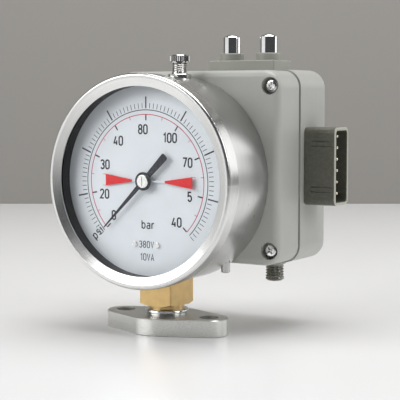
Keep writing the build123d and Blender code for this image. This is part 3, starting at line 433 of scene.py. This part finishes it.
# ---- dial print ----
PRINT_HEIGHT = 0.05 * MM
SCALE_SWEEP = 270.0
MAJOR_COUNT = 9
MAJOR_STEP = SCALE_SWEEP / (MAJOR_COUNT - 1)
MINORS_PER_STEP = 10
LABELS = (("0", -131.5), ("20", -105.0), ("30", -72.0), ("40", -39.5), ("80", -4.0), ("100", 32.5),
          ("70", 67.0), ("5", 104.0), ("40", 137.0))
OUTER_LONG = (37.6 * MM, 43.6 * MM)
OUTER_SHORT = (37.6 * MM, 40.3 * MM)
OUTER_ARC = 36.8 * MM
INNER_ARC = 34.5 * MM
INNER_MAJOR = (31.5 * MM, 34.3 * MM)
INNER_MINOR = (32.8 * MM, 34.4 * MM)
OUTER_LONG_WIDTH = 0.74 * MM
OUTER_SHORT_WIDTH = 0.32 * MM
OUTER_ARC_WIDTH = 0.42 * MM
INNER_ARC_WIDTH = 0.4 * MM
INNER_MAJOR_WIDTH = 0.72 * MM
INNER_MINOR_WIDTH = 0.3 * MM
ARC_STEPS = 120
LABEL_RADIUS = 27.0 * MM
LABEL_HEIGHT = 4.5 * MM
LABEL_WEIGHT = 0.8 * MM
PSI_RADIUS = 41.2 * MM
PSI_ANGLE = -131.5
RATING_DROP = 6.5 * MM
SCALE_DROP = 0.5 * MM


def on_dial(radius, degrees):
    """(x, z) at a clock angle: 0 is at the top and positive angles run clockwise."""
    a = radians(degrees)
    return AXIS_X + radius * sin(a), AXIS_Z - SCALE_DROP + radius * cos(a)


def print_slab(bm, outline):
    raised(bm, outline, DIAL_FRONT + PRINT_HEIGHT, DIAL_FRONT - PRINT_HEIGHT)


def tick(bm, radii, degrees, width):
    inner, outer = on_dial(radii[0], degrees), on_dial(radii[1], degrees)
    side = Vector((cos(radians(degrees)), -sin(radians(degrees)))) * width / 2
    a, b = Vector(inner), Vector(outer)
    print_slab(bm, [tuple(a - side), tuple(b - side), tuple(b + side), tuple(a + side)])


def arc_line(bm, radius, width, start, end):
    angles = [start + (end - start) * k / ARC_STEPS for k in range(ARC_STEPS + 1)]
    outer = [on_dial(radius + width / 2, a) for a in angles]
    inner = [on_dial(radius - width / 2, a) for a in reversed(angles)]
    for k in range(ARC_STEPS):
        print_slab(bm, [outer[k], outer[k + 1], inner[ARC_STEPS - k - 1], inner[ARC_STEPS - k]])


def major_angles():
    return [-SCALE_SWEEP / 2 + MAJOR_STEP * k for k in range(MAJOR_COUNT)]


def long_ticks(bm):
    for a in major_angles()[1:-1]:
        tick(bm, OUTER_LONG, a, OUTER_LONG_WIDTH)


def short_ticks(bm):
    last = (MAJOR_COUNT - 1) * MINORS_PER_STEP
    for k in range(last + 1):
        if k % MINORS_PER_STEP or k in (0, last):
            angle = -SCALE_SWEEP / 2 + MAJOR_STEP * k / MINORS_PER_STEP
            tick(bm, OUTER_SHORT, angle, OUTER_SHORT_WIDTH)


def outer_arc(bm):
    arc_line(bm, OUTER_ARC, OUTER_ARC_WIDTH, -SCALE_SWEEP / 2, SCALE_SWEEP / 2)


def inner_arc(bm):
    arc_line(bm, INNER_ARC, INNER_ARC_WIDTH, -SCALE_SWEEP / 2, SCALE_SWEEP / 2)
    for a in major_angles()[:-1]:
        tick(bm, INNER_MINOR, a + MAJOR_STEP / 2, INNER_MINOR_WIDTH)


def inner_ticks(bm):
    for a in major_angles():
        tick(bm, INNER_MAJOR, a, INNER_MAJOR_WIDTH)


def bow(x, z, rx, rz, start, end, steps=10):
    """Points along part of an ellipse, by its angles in degrees."""
    span = (end - start) / steps
    return [(x + rx * cos(radians(start + span * k)), z + rz * sin(radians(start + span * k)))
            for k in range(steps + 1)]


GLYPH_WIDTH = 0.46


def glyph_strokes(letter):
    """Centre lines of a plain upright letter, in a cell 1 high, and the cell's width."""
    w = GLYPH_WIDTH
    m = w / 2
    r = m
    zero = bow(m, 1 - r, r, r, 0, 180) + bow(m, r, r, r, 180, 360)
    shapes = {
        "0": ([zero + [zero[0]]], w),
        "1": ([[(0.02, 0.78), (m * 0.95, 1.0), (m * 0.95, 0.0)]], w * 0.62),
        "2": ([bow(m, 0.74, m, 0.26, 170, -35) + [(0.0, 0.0), (w, 0.0)]], w),
        "3": ([bow(m, 0.76, m * 0.94, 0.24, 160, -90) + bow(m, 0.26, m, 0.26, 90, -160)], w),
        "4": ([[(m * 1.1, 1.0), (0.0, 0.25), (w, 0.25)], [(w * 0.78, 0.52), (w * 0.78, 0.0)]], w),
        "5": ([[(w * 0.92, 1.0), (w * 0.1, 1.0), (w * 0.06, 0.56)] + bow(m, 0.31, m, 0.31, 115, -160)], w),
        "7": ([[(0.0, 1.0), (w, 1.0), (w * 0.32, 0.0)]], w),
        "8": ([bow(m, 0.76, m * 0.88, 0.24, 0, 360, 20), bow(m, 0.27, m, 0.27, 0, 360, 20)], w),
        "a": ([bow(m, 0.50, m * 0.9, 0.20, 150, 0) + [(w * 0.95, 0.0)],
               bow(m * 0.95, 0.20, m * 0.95, 0.20, 20, 350, 16)], w),
        "b": ([[(0.0, 1.0), (0.0, 0.0)], bow(m, 0.35, m, 0.35, 160, -160, 16)], w),
        "r": ([[(0.0, 0.70), (0.0, 0.0)], bow(m * 0.9, 0.42, m * 0.85, 0.28, 170, 60)], w * 0.8),
        "p": ([[(0.0, 0.70), (0.0, -0.28)], bow(m, 0.35, m, 0.35, 160, -160, 16)], w),
        "s": ([bow(m, 0.53, m * 0.85, 0.17, 30, 230) + bow(m, 0.17, m * 0.85, 0.17, 90, -150)], w * 0.95),
        "i": ([[(0.06, 0.70), (0.06, 0.0)], [(0.06, 0.95), (0.06, 0.86)]], w * 0.3),
        "V": ([[(0.0, 1.0), (m, 0.0), (w, 1.0)]], w),
        "A": ([[(0.0, 0.0), (m, 1.0), (w, 0.0)], [(w * 0.18, 0.32), (w * 0.82, 0.32)]], w),
    }
    return shapes[letter]


def ribbon(points, width):
    """Left and right edges of a line of this width, mitred at its corners."""
    left, right = [], []
    count = len(points)
    loop = (points[0] - points[-1]).length < 1e-9
    for k, p in enumerate(points):
        before = points[k - 1] if k else (points[-2] if loop else None)
        after = points[k + 1] if k < count - 1 else (points[1] if loop else None)
        ahead = (after - p).normalized() if after is not None else (p - before).normalized()
        behind = (p - before).normalized() if before is not None else ahead
        mean = (ahead + behind).normalized()
        normal = Vector((-mean.y, mean.x))
        reach = width / 2 / max(mean.dot(ahead), 0.5)
        left.append(p + normal * reach)
        right.append(p - normal * reach)
    return left, right


def write(bm, text, centre, height, weight, gap, turn=0.0):
    """Plain lettering centred on (x, z); the gap is in letter heights, the turn clockwise in degrees."""
    cells = [glyph_strokes(letter) for letter in text]
    total = sum(width for _, width in cells) + gap * (len(cells) - 1)
    angle = -radians(turn)
    x = -total / 2
    for strokes, width in cells:
        for stroke in strokes:
            points = []
            for px, pz in stroke:
                u, v = (x + px) * height, (pz - 0.5) * height
                points.append(Vector((centre[0] + u * cos(angle) - v * sin(angle),
                                      centre[1] + u * sin(angle) + v * cos(angle))))
            left, right = ribbon(points, weight)
            for k in range(len(points) - 1):
                print_slab(bm, [tuple(right[k]), tuple(right[k + 1]), tuple(left[k + 1]), tuple(left[k])])
        x += width + gap


def numerals(bm):
    for label, angle in LABELS:
        write(bm, label, on_dial(LABEL_RADIUS, angle), LABEL_HEIGHT, LABEL_WEIGHT, 0.24)


def unit_names(bm):
    write(bm, "bar", (AXIS_X + 1.2 * MM, AXIS_Z - 22.3 * MM), 4.1 * MM, 0.6 * MM, 0.28)
    write(bm, "psi", on_dial(PSI_RADIUS, PSI_ANGLE), 4.2 * MM, 0.66 * MM, 0.28, turn=-46)


def rating(bm):
    write(bm, "380V", (AXIS_X + 0.1 * MM, DIAL_SCREW_Z), 3.3 * MM, 0.42 * MM, 0.26)
    write(bm, "10VA", (AXIS_X + 0.5 * MM, DIAL_SCREW_Z - RATING_DROP), 3.4 * MM, 0.42 * MM, 0.24)


def print_dial():
    add_piece("dial_long_ticks", long_ticks, DIAL_INK, "housing")
    add_piece("dial_short_ticks", short_ticks, DIAL_INK, "housing")
    add_piece("dial_outer_arc", outer_arc, DIAL_INK, "housing")
    add_piece("dial_inner_ticks", inner_ticks, DIAL_INK, "housing")
    add_piece("dial_inner_arc", inner_arc, DIAL_RED_INK, "housing")
    add_piece("dial_numerals", numerals, DIAL_INK, "housing")
    add_piece("dial_unit_names", unit_names, DIAL_INK, "housing")
    add_piece("dial_rating", rating, DIAL_INK, "housing")


# ---- threads and knurls ----
AROUND = 64
STEM_PITCH = 1.0 * MM
NIPPLE_PITCH = 1.5 * MM
STEPS_PER_PITCH = 10
COLLAR_DROP = 2.1 * MM
KNURLS = 32
KNURL_DEPTH = 0.14 * MM
DOME_STEPS = 6
THREAD_DEPTH_PER_PITCH = 0.42


def circle(centre, radius, z, ripple=None):
    """A ring of points about an upright axis; ripple(angle) is added to the radius."""
    points = []
    for k in range(AROUND):
        a = 2 * pi * k / AROUND
        r = radius + (ripple(a) if ripple else 0.0)
        points.append((centre[0] + r * cos(a), centre[1] + r * sin(a), z))
    return points


def thread_rings(centre, radius, z_low, z_high, pitch):
    """Rings of a right-hand thread of rounded vees that fades out at both ends."""
    depth = pitch * THREAD_DEPTH_PER_PITCH
    count = round((z_high - z_low) / pitch * STEPS_PER_PITCH)
    rings = []
    for i in range(count + 1):
        z = z_low + (z_high - z_low) * i / count
        fade = min(1.0, (z - z_low) / pitch, (z_high - z) / pitch)

        def groove(a, z=z, fade=fade):
            turn = (z / pitch - a / (2 * pi)) % 1.0
            return -depth * fade * (1 - abs(2 * turn - 1)) ** 0.8

        rings.append(circle(centre, radius, z, groove))
    return rings


def middle_of(name):
    low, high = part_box(name)
    return (low.x + high.x) / 2, (low.y + high.y) / 2


def threaded_stem(bm):
    low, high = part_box("vent_stem")
    centre = middle_of("vent_stem")
    radius = (high.x - low.x) / 2
    foot_r = radius - 1.2 * MM
    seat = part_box("vent_boss")[1].z
    rings = [circle(centre, foot_r, low.z), circle(centre, foot_r, seat), circle(centre, radius, seat)]
    rings += thread_rings(centre, radius, seat + 0.1 * MM, high.z - 0.4 * MM, STEM_PITCH)
    rings.append(circle(centre, radius - 0.4 * MM, high.z))
    loft(bm, rings)


def knurled_cap(bm):
    """Hollow cap with a straight knurl, a plain bead below it and a shallow dome on top."""
    low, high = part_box("vent_cap")
    centre = middle_of("vent_cap")
    radius = (high.x - low.x) / 2
    stem_low, stem_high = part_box("vent_stem")
    bore = (stem_high.x - stem_low.x) / 2 + 0.05 * MM

    def knurl(a):
        return -KNURL_DEPTH * (1 - cos(KNURLS * a))

    def plain(inset, z):
        return circle(centre, radius - inset, z)

    rim = high.z - 1.15 * MM
    rings = [circle(centre, bore, low.z), plain(0.35 * MM, low.z), plain(0.1 * MM, low.z + 0.2 * MM),
             plain(0.1 * MM, low.z + 0.5 * MM), plain(0.4 * MM, low.z + 0.62 * MM),
             circle(centre, radius, low.z + 0.8 * MM, knurl), circle(centre, radius, rim - 0.15 * MM, knurl),
             plain(0.45 * MM, rim)]
    dome_r = radius - 0.6 * MM
    for i in range(DOME_STEPS):
        a = pi / 2 * i / DOME_STEPS
        rings.append(circle(centre, dome_r * cos(a), rim + (high.z - rim) * sin(a)))
    rings.append(circle(centre, dome_r * 0.08, high.z))
    ceiling = stem_high.z + 0.25 * MM
    rings_inside = [circle(centre, bore * 0.08, ceiling), circle(centre, bore, ceiling)]
    loft(bm, rings[1:], caps=False)
    loft(bm, rings_inside + [rings[0], rings[1]], caps=False)
    for ring in (rings[-1], rings_inside[0]):
        bm.faces.new([bm.verts.new(p) for p in ring])
    bmesh.ops.remove_doubles(bm, verts=bm.verts, dist=0.001 * MM)


def threaded_nipple(bm):
    """Cable nipple: bored through, threaded below its collar, chamfered at its mouth."""
    low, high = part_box("cable_nipple")
    centre = middle_of("cable_nipple")
    radius = MOUNTS["nipple_thread"]["dims"]["r_mm"] * MM
    bore = MOUNTS["nipple_bore"]["dims"]["r_mm"] * MM
    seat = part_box("box_base")[0].z
    shoulder = seat - COLLAR_DROP
    mouth = [circle(centre, bore, low.z + 0.5 * MM), circle(centre, bore + 0.5 * MM, low.z),
             circle(centre, radius - 0.9 * MM, low.z), circle(centre, radius - 0.1 * MM, low.z + 0.8 * MM)]
    thread = thread_rings(centre, radius, low.z + 0.9 * MM, shoulder - 0.1 * MM, NIPPLE_PITCH)
    stem = [circle(centre, radius, shoulder), circle(centre, radius, high.z), circle(centre, bore, high.z)]
    loft(bm, mouth + thread + stem, closed=True)


def nipple_collar(bm):
    """Painted boss of the housing round the top of the nipple."""
    low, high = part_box("cable_nipple")
    centre = middle_of("cable_nipple")
    inner = MOUNTS["nipple_thread"]["dims"]["r_mm"] * MM + 0.02 * MM
    outer = (high.x - low.x) / 2
    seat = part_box("box_base")[0].z
    shoulder = seat - COLLAR_DROP
    loft(bm, [circle(centre, inner, shoulder), circle(centre, outer - 0.4 * MM, shoulder),
              circle(centre, outer, shoulder + 0.4 * MM), circle(centre, outer, seat),
              circle(centre, inner, seat)], closed=True)


def add_turned_pieces():
    stem = add_piece("vent_stem_threaded", threaded_stem, THREAD_NICKEL, "housing", ["vent_stem"])
    cap = add_piece("vent_cap_knurled", knurled_cap, NICKEL, "vent_cap", ["vent_cap"])
    nipple = add_piece("cable_nipple_threaded", threaded_nipple, GUNMETAL, "housing",
                       ["cable_nipple"])
    collar = add_piece("nipple_collar", nipple_collar, HOUSING_PAINT, "housing",
                       ["cable_nipple"])
    for piece in (stem, cap, nipple, collar):
        smooth_by_angle(piece, 40)


# ---- cover screws ----
SCREW_SIDES = 40
SCREW_HEAD_R = 3.5 * MM
SCREW_SHANK_R = 2.0 * MM
SCREW_HEAD_T = 2.6 * MM
CROSS_REACH = 1.95 * MM
CROSS_HALF = 0.45 * MM
CROSS_DEPTH = 1.5 * MM
CROSS_TAPER = 0.8
CROSS_TURNS = (12, 64, 33, 81)


def cross_outline(turn):
    """Corners of a cross recess about its middle, turned by degrees."""
    arm = ((CROSS_HALF, -CROSS_HALF), (CROSS_REACH, -CROSS_HALF), (CROSS_REACH, CROSS_HALF))
    corners = []
    for quarter in range(4):
        a = radians(turn + 90 * quarter)
        for along, across in arm:
            corners.append((along * cos(a) - across * sin(a), along * sin(a) + across * cos(a)))
    return corners


def edge_loop(bm, points):
    verts = [bm.verts.new(p) for p in points]
    return [bm.edges.new((verts[k - 1], verts[k])) for k in range(len(verts))]


def cross_screw(bm, x, z, front, end, turn):
    """Pan-head screw along Y, from the front of its head to the end of its shank."""
    def ring(radius, y):
        steps = [2 * pi * k / SCREW_SIDES for k in range(SCREW_SIDES)]
        return [(x + radius * cos(a), y, z + radius * sin(a)) for a in steps]

    seat = front + SCREW_HEAD_T
    face_r = SCREW_HEAD_R - 0.9 * MM
    loft(bm, [ring(face_r, front), ring(SCREW_HEAD_R - 0.45 * MM, front + 0.2 * MM),
              ring(SCREW_HEAD_R - 0.12 * MM, front + 0.6 * MM), ring(SCREW_HEAD_R, front + 1.2 * MM),
              ring(SCREW_HEAD_R, seat), ring(SCREW_SHANK_R, seat), ring(SCREW_SHANK_R, end)], caps=False)
    bm.faces.new([bm.verts.new(p) for p in ring(SCREW_SHANK_R, end)])
    cross = [(x + u, front, z + v) for u, v in cross_outline(turn)]
    edges = edge_loop(bm, ring(face_r, front)) + edge_loop(bm, cross)
    bmesh.ops.triangle_fill(bm, use_beauty=True, edges=edges)
    sunk = [(x + u * CROSS_TAPER, front + CROSS_DEPTH, z + v * CROSS_TAPER) for u, v in cross_outline(turn)]
    loft(bm, [cross, sunk], caps=False)
    bm.faces.new([bm.verts.new(p) for p in sunk])


def four_cover_screws(bm):
    low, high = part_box("cover_screws")
    xs = (low.x + SCREW_HEAD_R, high.x - SCREW_HEAD_R)
    zs = (low.z + SCREW_HEAD_R, high.z - SCREW_HEAD_R)
    places = [(x, z) for x in xs for z in zs]
    for (x, z), turn in zip(places, CROSS_TURNS):
        cross_screw(bm, x, z, low.y, high.y, turn)
    bmesh.ops.remove_doubles(bm, verts=bm.verts, dist=0.001 * MM)


def add_cover_screws():
    screws = add_piece("cover_screws_cross", four_cover_screws, FASTENER_STEEL, "housing",
                       ["cover_screws"])
    smooth_by_angle(screws, 35)


# ---- stage, lights and camera ----
CAMERA_PLACE = Vector((0.35212, -0.54583, 0.12198))
CAMERA_AIM = Vector((-0.5175, 0.8518, -0.0814))
LENS_MM = 111.7
SENSOR_MM = 36.0
FLOOR_RADIUS = 4
FLOOR_SIDES = 96
WALL_DISTANCE = 0.79
WALL_HALF_WIDTH = 1.6
WALL_HEIGHT = 1.2
AIM = (0, 0.02, 0.07)
LOW_AIM = (0, 0.02, 0.115)


def stage_material(name, colour, roughness, mottle):
    finish = Finish(name, colour, roughness, 0.0)
    finish.tint(finish.noise(0.4, 2.0), 1 - mottle, 1 + mottle)
    return finish.material


def stage_object(name, build, material):
    bm = bmesh.new()
    build(bm)
    mesh = bpy.data.meshes.new(name)
    bm.to_mesh(mesh)
    bm.free()
    mesh.materials.append(material)
    item = bpy.data.objects.new(name, mesh)
    bpy.context.scene.collection.objects.link(item)


def floor_disc(bm):
    angles = [2 * pi * k / FLOOR_SIDES for k in range(FLOOR_SIDES)]
    bm.faces.new([bm.verts.new((FLOOR_RADIUS * cos(a), FLOOR_RADIUS * sin(a), 0)) for a in angles])


def wall_panel(bm):
    """An upright wall behind the object, square to the camera's line of sight."""
    away = Vector((CAMERA_AIM.x, CAMERA_AIM.y, 0)).normalized()
    side = Vector((away.y, -away.x, 0))
    foot = away * WALL_DISTANCE
    corners = [foot - side * WALL_HALF_WIDTH, foot + side * WALL_HALF_WIDTH]
    low = [bm.verts.new(c) for c in corners]
    high = [bm.verts.new(c + Vector((0, 0, WALL_HEIGHT))) for c in corners]
    bm.faces.new((low[0], low[1], high[1], high[0]))


def softbox(name, place, target, size, power):
    """A rectangular light this wide and high in metres, aimed at a point, with its power in watts."""
    data = bpy.data.lights.new(name, "AREA")
    data.shape = "RECTANGLE"
    data.size, data.size_y = size
    data.energy = power
    lamp = bpy.data.objects.new(name, data)
    bpy.context.scene.collection.objects.link(lamp)
    lamp.location = place
    lamp.rotation_mode = "QUATERNION"
    lamp.rotation_quaternion = (Vector(target) - Vector(place)).to_track_quat("-Z", "Y")


def light_world():
    world = bpy.data.worlds.new("soft_room")
    world.use_nodes = True
    background = world.node_tree.nodes["Background"]
    background.inputs["Color"].default_value = (0.93, 0.95, 1.0, 1)
    background.inputs["Strength"].default_value = 0.07
    bpy.context.scene.world = world


def aim_camera():
    data = bpy.data.cameras.new("camera")
    data.sensor_width = SENSOR_MM
    data.lens = LENS_MM
    data.clip_start, data.clip_end = 0.01, 20
    camera = bpy.data.objects.new("camera", data)
    bpy.context.scene.collection.objects.link(camera)
    camera.location = CAMERA_PLACE
    camera.rotation_mode = "QUATERNION"
    camera.rotation_quaternion = CAMERA_AIM.to_track_quat("-Z", "Y")
    bpy.context.scene.camera = camera


def set_stage():
    stage_object("floor", floor_disc, stage_material("floor_finish", (0.89, 0.89, 0.89), 0.24, 0.01))
    stage_object("wall", wall_panel, stage_material("wall_finish", (0.285, 0.273, 0.255), 0.8, 0.02))
    softbox("key_light", (-0.82, -0.92, 0.72), AIM, (1.1, 0.8), 10)
    softbox("side_light", (1.15, 0.10, 0.65), AIM, (0.6, 0.6), 4)
    softbox("back_light", (0.75, 0.90, 0.42), AIM, (0.8, 0.6), 2.2)
    softbox("low_light", (-0.78, -0.80, 0.115), LOW_AIM, (1.2, 0.27), 0.9)
    softbox("top_light", (0.1, 0.1, 1.15), AIM, (0.9, 0.9), 12)
    light_world()
    aim_camera()
    bpy.context.scene.view_settings.view_transform = "Standard"


dress_cad_nodes()
print_dial()
add_turned_pieces()
add_cover_screws()
set_stage()
